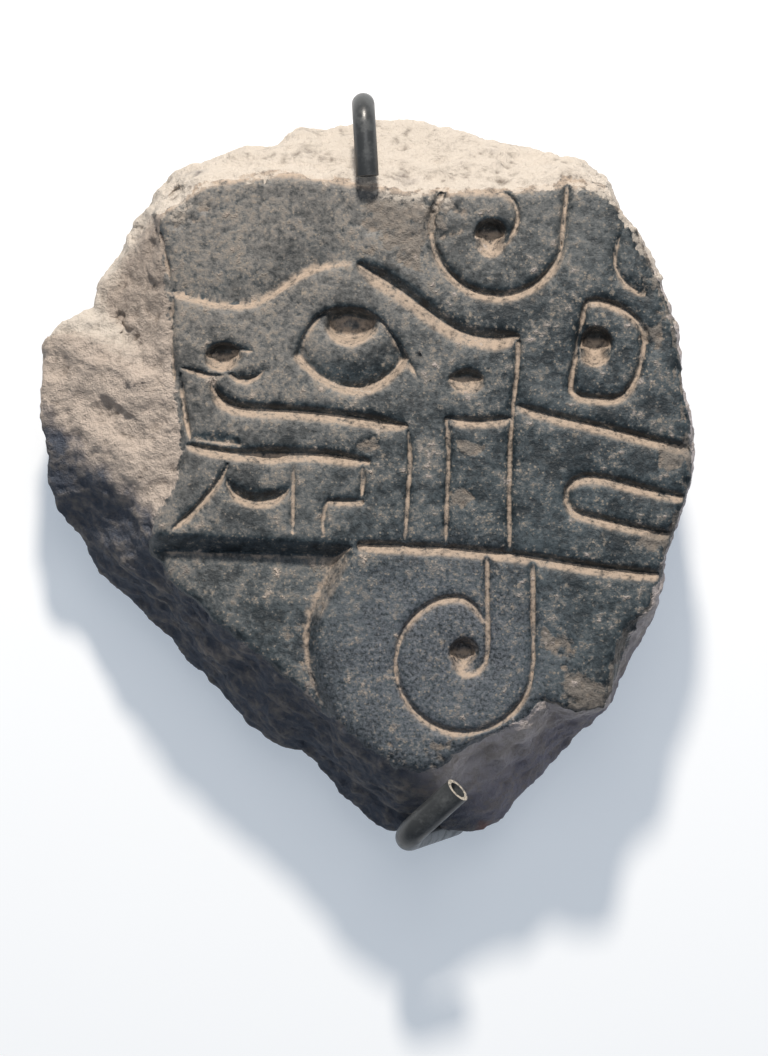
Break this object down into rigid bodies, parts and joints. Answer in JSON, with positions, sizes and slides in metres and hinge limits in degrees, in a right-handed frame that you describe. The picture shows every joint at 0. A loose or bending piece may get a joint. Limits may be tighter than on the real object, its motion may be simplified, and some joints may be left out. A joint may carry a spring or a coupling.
{
  "type": "carved stone slab fragment",
  "caption": "Broken dark stone slab lying face up, carved in low relief with an animal's head in profile, scrolls and bars, with the bent tubes that hold it up.",
  "frame": {"origin": "middle of the overall outline, on the plane of the flat back", "axes": "+Z out of the carved face, +X to the right of the carving, +Y to its top"},
  "size_m": [0.229, 0.267, 0.0785],
  "materials": {
    "stone": "dull and worn, with pale dust in the carving and pale breaks",
    "hook": "satin dark grey"
  },
  "bodies": {
    "root": {"stone_slab": "stone", "upper_hook": "hook", "lower_hook": "hook"}
  },
  "joints": []
}
